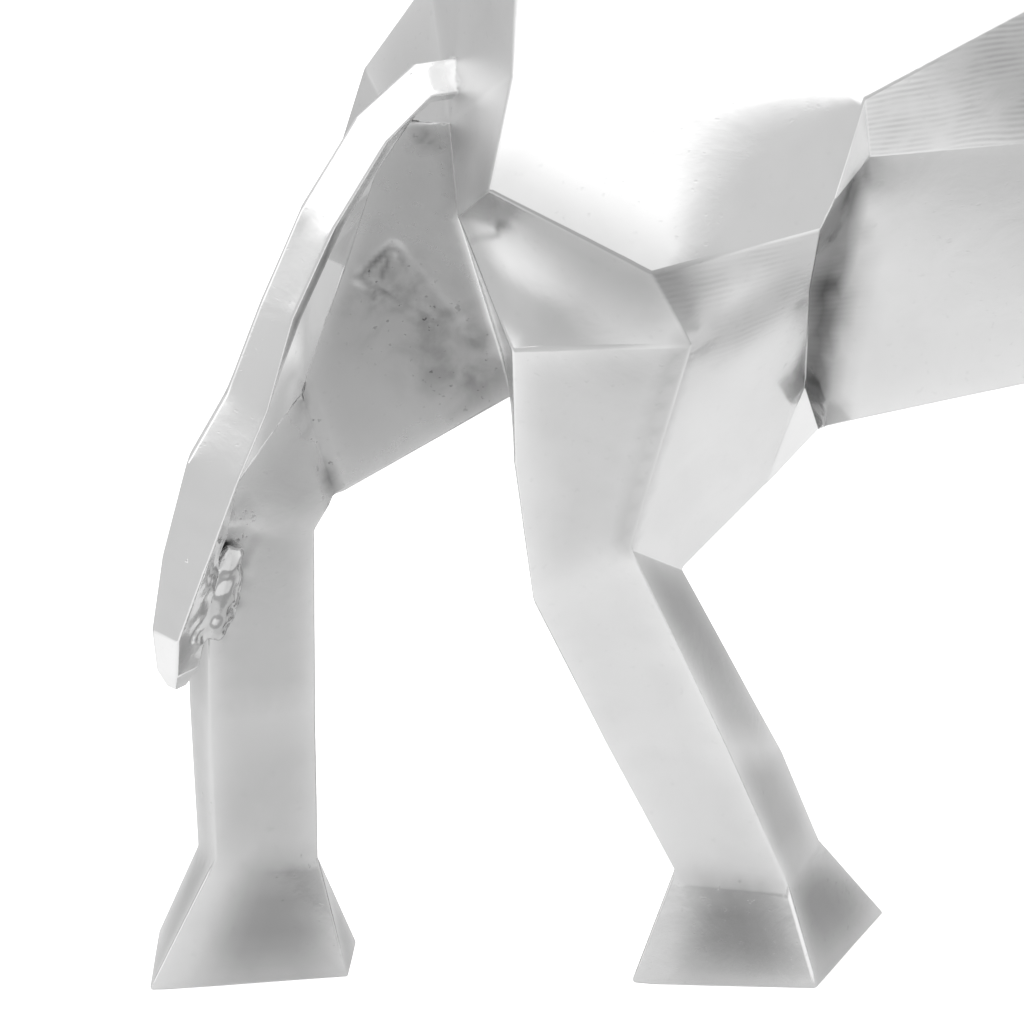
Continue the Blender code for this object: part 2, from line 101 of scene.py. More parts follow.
# a leg section: centre, length, width, turn outward, skew of the inner side, rise ahead, rise inward
hindLegs = {
    right: {
        "thighBack": (-1.5, 11, 53.2), "thighSide": (9.7, 16.5, 54.3), "fold": (14.3, 13, 51.7),
        "foldLow": (10.5, 13, 46.3), "foldTop": (20.1, 12, 55.2), "groin": (21.3, 8, 46),
        "bellyRoot": (22.4, 8, 42.5), "thighFront": (19.2, 6, 37.7), "thighInner": (9, 1.6, 39.5),
        "calf": (-0.8, 9.4, 43.8),
        "hock": (7.1, 6.7, 32.0, 7.2, 9.6, 34.5, 1.2, 0.7, -0.61),
        "cannon": (14.0, 6.3, 17.6, 8.6, 8.8, 26, 3.2, 0.05, -0.5),
        "fetlock": (18.3, 5.7, 8.0, 8.3, 7.4, 20.4, 2.3, -0.14, 0),
    },
    left: {
        "thighBack": (-9.9, 10.5, 53.1), "thighSide": (2.5, 16.2, 50), "fold": (8.5, 13, 48.5),
        "foldLow": (1, 12.8, 43.8), "foldTop": (19.5, 12, 55.2), "groin": (20, 8, 47),
        "bellyRoot": (22, 8, 43.4), "thighFront": (6, 7.5, 43.6), "thighInner": (-12.8, 2.5, 46.1),
        "web": (-5.2, 0.6, 66.4), "webMid": (-7.7, 1.5, 62.3), "tailSide": (-9.5, 2.4, 55.1),
        "bend": (-10.4, 2.3, 37.4), "bendSide": (-9.4, 10.4, 39.2),
        "hock": (-15.9, 5.2, 35.8, 8.0, 5.8, 0, 0, -0.2, 0),
        "cannon": (-16, 4.9, 20.6, 8.0, 5.6, -1, 0, -0.05, 0.1),
        "fetlock": (-15.8, 4.8, 8.6, 7.7, 5.8, -3, 0, -0.12, 0.3),
    },
}
foreLegs = {
    right: {
        "bladeBack": (68, 18, 60), "bladeFront": (87.5, 17, 62),
        "elbow": (76, 9.2, 48.5, 14, 11.5, 4, 1, -0.05, -0.1),
        "knee": (79.2, 8.6, 28, 9.2, 8.6, 6, 1, 0.1, 0),
        "cannon": (77, 8.4, 22, 7.6, 7.4, 8, 1, 0.1, 0),
        "fetlock": (73.6, 8, 8.6, 8, 7.2, 8, 1, 0.1, 0),
    },
    left: {
        "bladeBack": (70, 17.8, 61), "bladeFront": (89, 16.6, 61.5),
        "elbow": (82, 9.2, 48.5, 14, 11.5, 4, 1, 0.1, -0.1),
        "knee": (92.3, 8.4, 29, 9.2, 8.6, 4, 1, 0.25, 0),
        "cannon": (94, 8.2, 22.5, 7.6, 7.4, 4, 1, 0.1, 0),
        "fetlock": (96.6, 8, 8.8, 8, 7.2, 4, 1, -0.1, 0),
    },
}
soleCorners = ("backOuter", "frontOuter", "toe", "frontInner", "backInner", "heel")
soles = {  # (forward, outward) of each corner on the floor
    ("hind", right): ((10.9, 8.8), (21.3, 12.8), (30.1, 3.2), (26.5, -2.4), (15.6, -2.2), (8.7, 7.6)),
    ("hind", left): ((-21.9, 10.5), (-9.8, 11), (-8.4, 4.6), (-10.6, -0.5), (-22.3, 1.4), (-25, 2.1)),
    ("fore", right): ((70.2, 13.4), (82.4, 14.4), (85.8, 8.2), (82.2, 2.6), (70.6, 2.6), (68.4, 7.4)),
    ("fore", left): ((93, 13.2), (105.2, 14.2), (108.6, 8), (105, 2.6), (93.4, 2.6), (91.2, 7.4)),
}
# bars let into the body: middle, half breadth and half thickness at each station
tailBar = {
    "lead": (0, 1, 0),
    "section": ((1.0, -0.1), (-0.35, -0.95), (-1.0, -0.1), (-0.5, 0.85), (0.6, 0.85)),
    "stations": (  # the last number shifts the ridge along the breadth
        ((2.0, 0.8, 69.0), 1.5, 1.6, 0), ((-4.2, 0.7, 69.0), 1.6, 1.6, 0), ((-7.9, 0.3, 66.0), 1.8, 1.6, 0),
        ((-11.8, 0.2, 60.0), 1.8, 1.7, 0.05), ((-14.8, 0.4, 53.3), 1.7, 1.7, 0.1),
        ((-17.3, 0.5, 46.8), 1.7, 1.8, -0.3), ((-19.8, 0.7, 41.8), 2.1, 2.1, -0.3),
        ((-21.5, 0.9, 34.8), 2.2, 2.2, 0.15), ((-22.4, 1.0, 29.3), 2.1, 2.1, 0.7),
        ((-22.6, 1.0, 26.3), 1.6, 1.7, 0.7), ((-22.7, 1.0, 24.9), 0.7, 0.8, 0.7)),
}
weldBar = {
    "sides": 10, "lead": (0, 1, 0),
    "stations": (
        ((-18.1, 1.5, 35.0), 0.6, 0.6), ((-18.5, 1.3, 33.6), 1.1, 1.0), ((-18.8, 1.2, 32.2), 1.3, 1.1),
        ((-19.2, 1.1, 30.8), 1.3, 1.1), ((-19.6, 1.0, 29.6), 1.1, 1.0), ((-20.1, 0.9, 28.4), 0.7, 0.6)),
}
hornBar = {
    "sides": 6, "lead": (0, 0, 1),
    "stations": (
        ((106.5, 3.5, 86.0), 3.2, 3.2), ((108.0, 10.0, 88.0), 3.0, 3.0), ((111.0, 16.0, 90.0), 2.4, 2.4),
        ((116.0, 19.5, 94.5), 1.6, 1.6), ((120.5, 19.5, 99.0), 0.5, 0.5)),
}
earBar = {
    "sides": 4, "lead": (1, 0, 0),
    "stations": (
        ((104.5, 6.5, 82.5), 2.6, 1.5), ((103.5, 12.0, 82.5), 3.2, 1.5), ((102.0, 18.0, 81.0), 0.7, 0.6)),
}


class Cage:  # corners by name and side, and the facets between them
    def __init__(self):
        self.corners = {}
        self.facets = []
        self.finishesAndShades = []

    def put(self, name, side, place):
        forward, outward, up = place
        self.corners[(name, side)] = (forward, outward * side, up)

    def key(self, name, side):
        return (name, side) if (name, side) in self.corners else (name, 0)

    def facet(self, side, *names, finish="polished"):
        self.facets.append([self.key(name, side) for name in names])
        self.finishesAndShades.append(finish)


# a hoof's narrow back strip is on the outer face, or on the inner one of the leg stretched back
def stripSide(leg, side):
    return "i" if leg.startswith("hind") and side == left else "o"


def legSection(spec):  # the four corners of a leg's section
    forward, outward, up, length, width, turn, skew, rise, lean = spec
    along = Vector((math.cos(math.radians(turn)), math.sin(math.radians(turn))))
    inward = Vector((along.y, -along.x))
    corners = []
    for ahead, inner in ((-1, -1), (1, -1), (1, 1), (-1, 1)):
        move = ahead * length / 2 + inner * skew / 2
        across = inner * width / 2
        flat = Vector((forward, outward)) + along * move + inward * across
        corners.append((flat.x, flat.y, up + rise * ahead * length / 2 + lean * across))
    return corners


def putSection(cage, name, side, spec):
    places = dict(zip(("Bo", "Fo", "Fi", "Bi"), legSection(spec)))
    if name.endswith("Fetlock"):
        facing = stripSide(name, side)
        back, front = Vector(places["B" + facing]), Vector(places["F" + facing])
        places["S"] = tuple(back.lerp(front, body["hoofStrip"]))
    for corner, place in places.items():
        cage.put(name + corner, side, place)


def addShank(cage, side, upper, lower):  # outer, front, inner and back facets between two sections
    ring = ("Bo", "Fo", "Fi", "Bi")
    farLeg = upper.startswith("hind") and side == left
    for first, second in zip(ring, ring[1:] + ring[:1]):
        facet = [upper + first, upper + second, lower + second, lower + first]
        if (lower + "S", side) in cage.corners and first[1] == second[1] == stripSide(lower, side):
            facet.insert(3, lower + "S")
        ahead = first[0] == second[0] == "F"
        cage.facet(side, *facet, finish="farShank" if farLeg else "front" if ahead else "shank")


def addHoof(cage, side, leg):
    names = [leg + "Sole" + corner for corner in soleCorners]
    for name, (forward, outward) in zip(names, soles[(leg, side)]):
        cage.put(name, side, (forward, outward, 0))
    backOuter, frontOuter, toe, frontInner, backInner, heel = names
    fetlock = leg + "Fetlock"
    finish = "farHoof" if (leg, side) == ("hind", left) else "hoof"
    cage.facet(side, fetlock + "Fo", fetlock + "Fi", toe, frontOuter, finish=finish)
    cage.facet(side, fetlock + "Fi", frontInner, toe, finish=finish)
    if stripSide(leg, side) == "i":
        cage.facet(side, fetlock + "Bo", fetlock + "Fo", frontOuter, backOuter, finish=finish)
        cage.facet(side, fetlock + "Fi", fetlock + "S", backInner, frontInner, finish=finish)
        cage.facet(side, fetlock + "S", fetlock + "Bi", heel, backInner, finish="strip")
        cage.facet(side, fetlock + "Bi", fetlock + "Bo", backOuter, heel, finish=finish)
    else:
        cage.facet(side, fetlock + "Bo", fetlock + "S", backOuter, heel, finish="strip")
        cage.facet(side, fetlock + "S", fetlock + "Fo", frontOuter, backOuter, finish=finish)
        cage.facet(side, fetlock + "Fi", fetlock + "Bi", backInner, frontInner, finish=finish)
        cage.facet(side, fetlock + "Bi", fetlock + "Bo", heel, backInner, finish=finish)
    cage.facet(side, *names)


def addTrunk(cage):
    sanding = {"upper": "brushed", "middle": "flank"}  # by the line above the facet
    stations = list(trunkStations)
    for station, places in trunkStations.items():
        for line, place in zip(trunkLines, places):
            if place is None:
                continue
            for side in ((0,) if place[1] == 0 else (right, left)):
                cage.put(station + line, side, place)
    for side in (right, left):
        for back, front in zip(stations, stations[1:]):
            for upper, lower in zip(trunkLines, trunkLines[1:]):
                names = (back + upper, front + upper, front + lower, back + lower)
                if all(cage.key(name, side) in cage.corners for name in names):
                    cage.facet(side, *names, finish=sanding.get(upper, "polished"))
    face = [cage.key("muzzle" + line, right) for line in trunkLines]
    face += [("muzzle" + line, left) for line in reversed(trunkLines[1:-1])]
    cage.facets.append(face)
    cage.finishesAndShades.append("polished")


def addRump(cage):
    for name, place in rumpCorners.items():
        for side in ((0,) if place[1] == 0 else (right, left)):
            cage.put(name, side, place)
    for name, place in rumpLeft.items():
        cage.put(name, left, place)
    for side in (right, left):
        cage.facet(side, "rumpTop", "rumpEdge", "croupRidge", "croup")
        cage.facet(side, "croup", "croupRidge", "loinridge", "loinspine")
        cage.facet(side, "rumpEdge", "pin", "haunch", "croupRidge")
        cage.facet(side, "pin", "buttock", "stifle", "haunch")
        cage.facet(side, "haunch", "stifle", "flankLow", "flank", "loinupper")
        cage.facet(side, "croupRidge", "haunch", "loinupper", "loinridge")
        cage.facet(side, "rumpTop", "vent", "pin", "rumpEdge", finish="rear")
        cage.facet(side, "vent", "seat", "buttock", "pin", finish="rear")
    cage.facet(right, "vent", "perineum", "seat")


def addPlantedThigh(cage, side):  # the leg under the body
    cage.facet(side, "seat", "buttock", "stifle", "thighSide", "thighBack", finish="thigh")
    cage.facet(side, "thighBack", "thighSide", "hindHockFo", "hindHockBo", "calf", finish="calf")
    cage.facet(side, "thighSide", "foldLow", "hindHockFo")
    cage.facet(side, "fold", "thighFront", "hindHockFi", "foldLow")
    cage.facet(side, "foldLow", "hindHockFi", "hindHockFo")
    cage.facet(side, "crotch", "loinkeel", "bellyRoot", "thighFront", "thighInner")
    cage.facet(side, "thighInner", "thighFront", "hindHockFi", "hindHockBi")
    cage.facet(side, "crotch", "thighInner", "hindHockBi", "hindHockBo", "calf")
    cage.facet(side, "cleft", "crotch", "calf", "thighBack")
    cage.facet(side, "perineum", "cleft", "thighBack", "seat")


def addPushingThigh(cage, side):  # the leg stretched back, its inner facets in sight from behind
    cage.facet(side, "thighBack", "thighSide", "bendSide", "hindHockFo", "hindHockBo")
    cage.facet(side, "thighSide", "foldLow", "bendSide")
    cage.facet(side, "fold", "thighFront", "foldLow")
    cage.facet(side, "foldLow", "thighFront", "bend", "bendSide")
    cage.facet(side, "bendSide", "bend", "hindHockFi", "hindHockFo")
    cage.facet(side, "crotch", "loinkeel", "bellyRoot", "thighFront")
    cage.facet(side, "crotch", "thighFront", "bend")
    # the far thigh's inner facet is given a painted shade as its finish
    cage.facet(side, "vent", "perineum", "cleft", "crotch", "bend", "thighInner", "tailSide", "webMid",
               "web", finish="shadedFarInner")
    cage.facet(side, "thighInner", "bend", "hindHockFi", "hindHockBi", finish="farShank")
    cage.facet(side, "tailSide", "thighInner", "hindHockBi", "hindHockBo", "thighBack")
    cage.facet(side, "vent", "web", "seat", finish="rear")
    cage.facet(side, "web", "webMid", "tailSide", "thighBack", "seat", finish="rearLeft")
    cage.facet(side, "seat", "thighBack", "buttock", finish="rearLeft")
    cage.facet(side, "buttock", "thighBack", "thighSide", "stifle")


def addHindLeg(cage, side):
    for name, place in hindLegs[side].items():
        if len(place) == 3:
            cage.put(name, side, place)
        else:
            putSection(cage, "hind" + name.capitalize(), side, place)
    cage.facet(side, "stifle", "flankLow", "foldTop", "fold", "thighSide", finish="sanded")
    cage.facet(side, "thighSide", "fold", "foldLow")
    cage.facet(side, "foldTop", "groin", "thighFront", "fold")
    cage.facet(side, "flank", "flankLow", "foldTop", "groin", "bellyRoot", "loinlower", "loinmiddle",
               finish="folded")
    cage.facet(side, "flank", "loinmiddle", "loinupper")
    cage.facet(side, "groin", "bellyRoot", "thighFront")
    cage.facet(side, "bellyRoot", "loinlower", "loinkeel")
    if side == right:
        addPlantedThigh(cage, side)
    else:
        addPushingThigh(cage, side)
    addShank(cage, side, "hindHock", "hindCannon")
    addShank(cage, side, "hindCannon", "hindFetlock")
    addHoof(cage, side, "hind")


def addForeLeg(cage, side):
    for name, place in foreLegs[side].items():
        if len(place) == 3:
            cage.put(name, side, place)
        else:
            putSection(cage, "fore" + name.capitalize(), side, place)
    cage.facet(side, "withersmiddle", "blademiddle", "bladeBack")
    cage.facet(side, "blademiddle", "humpmiddle", "bladeFront", "bladeBack")
    cage.facet(side, "humpmiddle", "chestmiddle", "bladeFront")
    cage.facet(side, "withersmiddle", "bladeBack", "foreElbowBo", "witherslower")
    cage.facet(side, "bladeBack", "bladeFront", "foreElbowFo", "foreElbowBo")
    cage.facet(side, "bladeFront", "chestmiddle", "chestlower", "foreElbowFi", "foreElbowFo")
    cage.facet(side, "witherslower", "foreElbowBo", "foreElbowBi", "witherskeel")
    cage.facet(side, "witherskeel", "foreElbowBi", "foreElbowFi", "humpkeel")
    cage.facet(side, "humpkeel", "foreElbowFi", "chestlower", "chestkeel")
    addShank(cage, side, "foreElbow", "foreKnee")
    addShank(cage, side, "foreKnee", "foreCannon")
    addShank(cage, side, "foreCannon", "foreFetlock")
    addHoof(cage, side, "fore")


def bodyShape():
    cage = Cage()
    addTrunk(cage)
    addRump(cage)
    for side in (right, left):
        addHindLeg(cage, side)
    for side in (right, left):
        addForeLeg(cage, side)
    number = {key: index for index, key in enumerate(cage.corners)}
    facets = [[number[key] for key in facet] for facet in cage.facets]
    return list(number), list(cage.corners.values()), facets, cage.finishesAndShades


def roundSection(count):
    turns = [math.tau * (corner + 0.5) / count for corner in range(count)]
    return [(math.cos(turn), math.sin(turn)) for turn in turns]


def barShape(spec, side):  # a closed bar through the stations
    section = spec.get("section") or roundSection(spec["sides"])
    middles = [Vector((x, y * side, z)) for (x, y, z), *sizes in spec["stations"]]
    count = len(section)
    corners = []
    facets = []
    for station, (place, breadth, thickness, *shift) in enumerate(spec["stations"]):
        ahead = middles[min(station + 1, len(middles) - 1)]
        heading = (ahead - middles[max(station - 1, 0)]).normalized()
        across = Vector(spec["lead"]).cross(heading).normalized()
        out = heading.cross(across)
        for corner, (wide, thick) in enumerate(section):
            if shift and corner == 1:
                wide += shift[0]
            corners.append(middles[station] + across * breadth * wide + out * thickness * thick)
        if station:
            first = (station - 1) * count
            for corner in range(count):
                beside = (corner + 1) % count
                facets.append(
                    (first + corner, first + beside, first + count + beside, first + count + corner))
    facets.append(tuple(range(count)))
    facets.append(tuple(range(len(corners) - count, len(corners))))
    return corners, facets


def neighbourMean(points, edges):  # for each point, the mean of those it shares an edge with
    size = len(points)
    first, second = edges[:, 0], edges[:, 1]
    count = np.bincount(edges.ravel(), minlength=size)
    total = [np.bincount(first, weights=points[second, column], minlength=size)
             + np.bincount(second, weights=points[first, column], minlength=size)
             for column in range(points.shape[1])]
    return np.stack(total, -1) / np.maximum(count, 1)[:, None]


def meshArrays(mesh):
    points = np.empty(len(mesh.vertices) * 3)
    mesh.vertices.foreach_get("co", points)
    edges = np.empty(len(mesh.edges) * 2, int)
    mesh.edges.foreach_get("vertices", edges)
    normals = np.empty(len(mesh.vertices) * 3)
    mesh.vertices.foreach_get("normal", normals)
    return points.reshape(-1, 3), edges.reshape(-1, 2), normals.reshape(-1, 3)


# rounding of named edges, in millimetres; none leaves a broad soft bend
edgeRounds = {
    ("haunch", "stifle"): 0, ("haunch", "loinupper"): 0, ("haunch", "croupRidge"): 0, ("haunch", "pin"): 0,
    ("rumpEdge", "pin"): 2.2, ("pin", "buttock"): 1.8, ("croupRidge", "rumpEdge"): 2.2,
    ("thighInner", "bend"): 0.5, ("loinmiddle", "waistmiddle"): 0.5, ("waistmiddle", "ribsmiddle"): 0.5,
    ("ribsmiddle", "withersmiddle"): 0.5,
}
crisp = -1  # an edge that stays a sharp line


def edgeRounding(first, second, angle):
    words = {first[0], second[0]}
    for pair, size in edgeRounds.items():
        if words == set(pair):
            return size
    if all("Sole" in word for word in words):
        return body["soleRound"]
    if all("Fetlock" in word for word in words):
        return crisp
    return body["edgeRound"] if angle > math.radians(body["sharpAngle"]) else 0


# how hard a point is held to its flat facet: little where the haunch bends broadly
def softHold(places):
    hold = np.full(len(places), body["hold"])
    for x, y, z, radius in body["softSpots"]:
        apart = np.linalg.norm(places - np.array((x, y, z)) * share * 1000, axis=1)
        near = np.clip(1 - apart / (radius * share * 1000), 0, 1)
        hold *= 1 - near ** body["softFade"] * (1 - body["softHold"])
    return hold


# facets with rounded edges, meshed finely and slightly crowned; worked in millimetres, returned in metres
def castSurface(name, keys, corners, facets, spec):
    bm = bmesh.new()
    points = [bm.verts.new(Vector(corner) * share * 1000) for corner in corners]
    for facet in facets:
        bm.faces.new([points[index] for index in facet])
    bmesh.ops.recalc_face_normals(bm, faces=bm.faces)
    bm.verts.index_update()
    weight = bm.edges.layers.float.new("bevel_weight_edge")
    line = bm.edges.layers.int.new("line")
    for edge in bm.edges:
        ends = [keys[vert.index] for vert in edge.verts]
        room = min(face.calc_area() / face.calc_perimeter() for face in edge.link_faces)
        size = edgeRounding(*ends, edge.calc_face_angle())
        edge[line] = size == crisp
        edge[weight] = min(max(size, 0), room * body["roundShare"]) / body["roundLimit"]
    mesh = bpy.data.meshes.new(name)
    bm.to_mesh(mesh)
    bm.free()
    for _ in range(2):  # facets, then rounded strips
        mesh.materials.append(None)
    coarse = bpy.data.objects.new(name, mesh)
    bpy.context.scene.collection.objects.link(coarse)
    rounding = coarse.modifiers.new("rounding", "BEVEL")
    rounding.limit_method = "WEIGHT"
    rounding.width = body["roundLimit"]
    rounding.segments = spec["edgeSegments"]
    rounding.material = 1
    bpy.context.view_layer.update()
    shaped = coarse.evaluated_get(bpy.context.evaluated_depsgraph_get())
    bm = bmesh.new()
    bm.from_mesh(shaped.data)
    bpy.data.objects.remove(coarse)
    border = bm.edges.layers.int.new("border")
    line = bm.edges.layers.int["line"]
    for edge in bm.edges:
        edge[border] = 1 if edge[line] or any(face.material_index == 1 for face in edge.link_faces) else 2
    bmesh.ops.triangulate(bm, faces=bm.faces)
    for _ in range(spec["splitRounds"]):
        tooLong = [edge for edge in bm.edges if edge.calc_length() > spec["longestCell"] * spec["cell"]]
        if not tooLong:
            break
        bmesh.ops.subdivide_edges(bm, edges=tooLong, cuts=1)
        bmesh.ops.triangulate(bm, faces=[face for face in bm.faces if len(face.verts) > 3])
        bmesh.ops.beautify_fill(bm, faces=bm.faces, edges=[edge for edge in bm.edges if edge[border] == 0])
    held = [any(edge[border] == 1 for edge in vert.link_edges) for vert in bm.verts]
    creased = [any(edge[border] > 0 for edge in vert.link_edges) for vert in bm.verts]
    mesh = bpy.data.meshes.new(name)
    bm.to_mesh(mesh)
    bm.free()
    mesh.materials.clear()
    places, edges, normals = meshArrays(mesh)
    free = ~np.array(creased, bool)
    for _ in range(spec["relax"]):
        places[free] = neighbourMean(places, edges)[free] + normals[free] * spec["crown"]
    free = ~np.array(held, bool)
    flat = places.copy()
    hold = softHold(places)[:, None]
    for _ in range(spec["soften"]):
        smoother = neighbourMean(places, edges) * (1 - hold) + flat * hold
        places[free] = smoother[free]
    mesh.vertices.foreach_set("co", (places / 1000).ravel())
    mesh.update()
    print(name, len(mesh.polygons), "triangles")
    return mesh


# painted shade of each finish: how bright the metal is on its facets, set to the grey of the reflection each
# facet should show; how strong its sanding grain; how bright its painted rim highlight
finishesAndShades = {
    "polished": (1.0, 0, 1.0), "flank": (0.84, 0, 0.95), "thigh": (0.72, 0, 0.85), "calf": (0.7, 0, 0.95),
    "shank": (0.86, 0, 0.95), "front": (0.56, 0, 0.95), "brushed": (0.78, 1, 0.9),
    "folded": (0.27, 0.4, 0.3), "sanded": (0.66, 0.6, 0.8), "rear": (0.8, 0, 0.9),
    "rearLeft": (0.6, 0, 0.7), "hoof": (0.38, 0, 0.8), "farHoof": (0.36, 0, 0.75),
    "strip": (0.72, 0, 0.85), "farShank": (0.6, 0, 0.8), "shadedFarInner": (0.58, 0, 0.7),
}
satin = {"rear": 0.28, "rearLeft": 0.28, "shadedFarInner": 0.14, "farShank": 0.1, "thigh": 0.06}  # added roughness
# where the painted rim highlight runs along each facet's border
rimHighlightWidth = (0.5, 1.9)  # millimetres from a facet's border where its rim begins and ends to fade
facetReach = 0.0016  # metres; what is farther from the flat facets is tail, weld, horn or ear, and polished

# strokes on the surface: from, to, radius and strength; shade darkens, or brightens where it is negative
shadeStrokes = (
    ((-3, -12.3, 65), (6.5, -16.6, 60), 6.5, 0.34), ((-7.4, -0.9, 64.6), (-10.6, -0.7, 59.4), 0.8, 0.25),
    ((-10.6, -0.7, 59.4), (-13.6, -0.5, 52.7), 1.0, 0.45),
    ((-13.6, -0.5, 52.7), (-16.1, -0.4, 46.2), 1.0, 0.4),
    ((-1.8, 0, 59), (1.3, 0, 48.2), 0.7, -0.5), ((9.2, -16.2, 54.3), (6.4, -12.2, 37.5), 1.5, 0.25),
    ((-20.3, -1.2, 33), (-21.8, -1, 27.5), 1.4, -0.5), ((-2.2, 0.2, 65), (-1.9, 0.2, 59.6), 1.6, 0.25),
    ((-18.3, 0.2, 35), (-19.8, 0, 29), 2.2, 0.45), ((22.0, -15.4, 64.3), (21.4, -12.1, 55.3), 1.8, 0.5),
    ((21.4, -12.1, 55.3), (21.6, -9.2, 46), 1.8, 0.5), ((-0.5, -10.8, 80), (7, -14, 78), 5, 0.12),
)
dirtAndShadeStrokes = (
    ((-6, 1.6, 52), (-1, 0.6, 47), 6, 0.9), ((-5.7, 0.3, 67.3), (-2.8, 0.3, 66.9), 0.9, 1),
    ((-4.8, 0.4, 66.6), (-4.0, 0.4, 64.6), 1.2, 1), ((-17.8, 2, 36.6), (-18.6, 1.6, 31), 2.2, 1),
    ((-14, 2.2, 9.2), (-11.8, 2.4, 9.4), 1.6, 0.5), ((20.6, -9.5, 45), (22.4, -9.4, 43.6), 1.6, 0.7),
    # the first stroke on the next line is painted shade along the foot of the far hoof, where it meets the
    # floor
    ((-20, -1, 1), (-9, -1, 1), 1.0, 0.4), ((-13.4, 2.4, 44.6), (-10.4, 2.2, 37.8), 1.3, 0.4),
    ((19, -10, 7.2), (13, -7.6, 7.8), 0.9, 0.5),
)
# grooves pressed into the surface: from, to, half width and depth in millimetres
grooves = (
    ((-6.3, 1.5, 56.6), (-8.6, 1.9, 54.2), 0.8, 0.2), ((-6.2, 1.5, 56.4), (-7.6, 1.8, 52.6), 0.7, 0.2),
    ((-6.0, 1.4, 56.4), (-3.6, 0.9, 50.6), 0.7, 0.2), ((-5.8, 1.4, 56.3), (-1.6, 0.6, 50.4), 0.8, 0.2),
    ((-8.6, 1.9, 54.2), (-0.6, 0.5, 49.0), 0.8, 0.25), ((-12.8, 2.5, 46.1), (-10.4, 2.3, 37.4), 0.8, 0.25),
    ((-3.4, 0.1, 66.6), (-6.0, 0.4, 66.2), 0.8, 0.5),
)
grooveStyle = {"reach": 2.2, "dirtReach": 1.5, "dirt": 1.2}  # reaches in half widths
# finer triangles at place and radius, where grooves and welds are
fineSpots = ((-5.2, 1.2, 52.6, 6.5), (-18.8, 1, 32.5, 5), (-4.4, 0.2, 67.4, 3))
fineMesh = {"rounds": 3, "edge": 0.001}
# seams blended at place and radius, and how often
seamSpots = (
    (-3.6, 0.6, 70, 2.6, 4), (-19, 0.8, 31.5, 4.4, 24), (106.5, -6, 86.5, 5, 8), (106.5, 6, 86.5, 5, 8))
seamFade = 1.6
# lumps over the surface, in millimetres, and the rough ones along the weld
waves = {"depth": 0.05, "length": 13}
weldLumps = {"from": (-18.4, 1, 35), "to": (-19.8, 0.8, 29), "radius": 3.2, "depth": 0.6, "length": 2.2}


def nearStroke(places, start, end, radius):  # 1 on the stroke, smoothly falling to 0 at its radius
    start, end = np.array(start) * share, np.array(end) * share
    along = end - start
    part = np.clip((places - start) @ along / (along @ along), 0, 1)[:, None]
    near = np.clip(1 - np.linalg.norm(places - start - part * along, axis=1) / (radius * share), 0, 1)
    return near * near * (3 - 2 * near)


def clip(value):
    return min(max(value, 0), 1)


# how much of the painted rim highlight a point gets
def rimHighlightShare(place, border):  # 1 at the facet's border, 0 inside
    apart = min((place - first.lerp(second, clip((place - first).dot(second - first)
                                                 / (second - first).length_squared))).length
                for first, second in border)
    begin, end = rimHighlightWidth
    return 1 - clip((apart * 1000 - begin) / (end - begin))


# point attributes that the material reads: painted shading (each facet's painted shade and rim highlight, and
# the painted shade strokes), grain, dirt (with painted shade at the far hoof's foot) and satin
def paintFinishAndShading(mesh, places, edges, corners, facets, kinds):
    flat = [Vector(corner) * share for corner in corners]
    nearest = BVHTree.FromPolygons(flat, facets)
    borders = [[(flat[a], flat[b]) for a, b in zip(facet, facet[1:] + facet[:1])] for facet in facets]
    paint = np.empty((len(places), 4))
    for number, place in enumerate(places):
        place = Vector(place)
        _, _, facet, apart = nearest.find_nearest(place)
        kind = kinds[facet] if apart < facetReach else "polished"
        # the facet's painted shade and painted rim highlight, and its grain
        paintedShading, grain, rimHighlight = finishesAndShades[kind]
        bright = paintedShading + (rimHighlight - paintedShading) * (rimHighlightShare(place, borders[facet]) if rimHighlight != paintedShading else 0)
        paint[number] = bright, grain, 0, satin.get(kind, 0)
    paint = neighbourMean(neighbourMean(paint, edges), edges)
    for start, end, radius, strength in shadeStrokes:
        paint[:, 0] *= 1 - strength * nearStroke(places, start, end, radius)
    grooveDirt = tuple((start, end, width * grooveStyle["dirtReach"] / (share * 1000), grooveStyle["dirt"])
                       for start, end, width, _ in grooves)
    # dirt, and the painted shade at the far hoof's foot
    for start, end, radius, strength in dirtAndShadeStrokes + grooveDirt:
        paint[:, 2] = np.maximum(paint[:, 2], strength * nearStroke(places, start, end, radius))
    for column, word in enumerate(("paintedShading", "grain", "dirt", "satin")):
        mesh.attributes.new(word, "FLOAT", "POINT").data.foreach_set("value", paint[:, column])


def inFineSpot(edge):
    middle = (edge.verts[0].co + edge.verts[1].co) / 2
    return any((middle - Vector((x, y, z)) * share).length < radius * share for x, y, z, radius in fineSpots)


def refineSpots(mesh):
    bm = bmesh.new()
    bm.from_mesh(mesh)
    for _ in range(fineMesh["rounds"]):
        chosen = [edge for edge in bm.edges if edge.calc_length() > fineMesh["edge"] and inFineSpot(edge)]
        bmesh.ops.subdivide_edges(bm, edges=chosen, cuts=1)
        bmesh.ops.triangulate(bm, faces=[face for face in bm.faces if len(face.verts) > 3])
    bm.to_mesh(mesh)
    bm.free()


def lumps(place, length):  # a noise between -1 and 1
    return noise.noise(Vector(place) * 1000 / length)


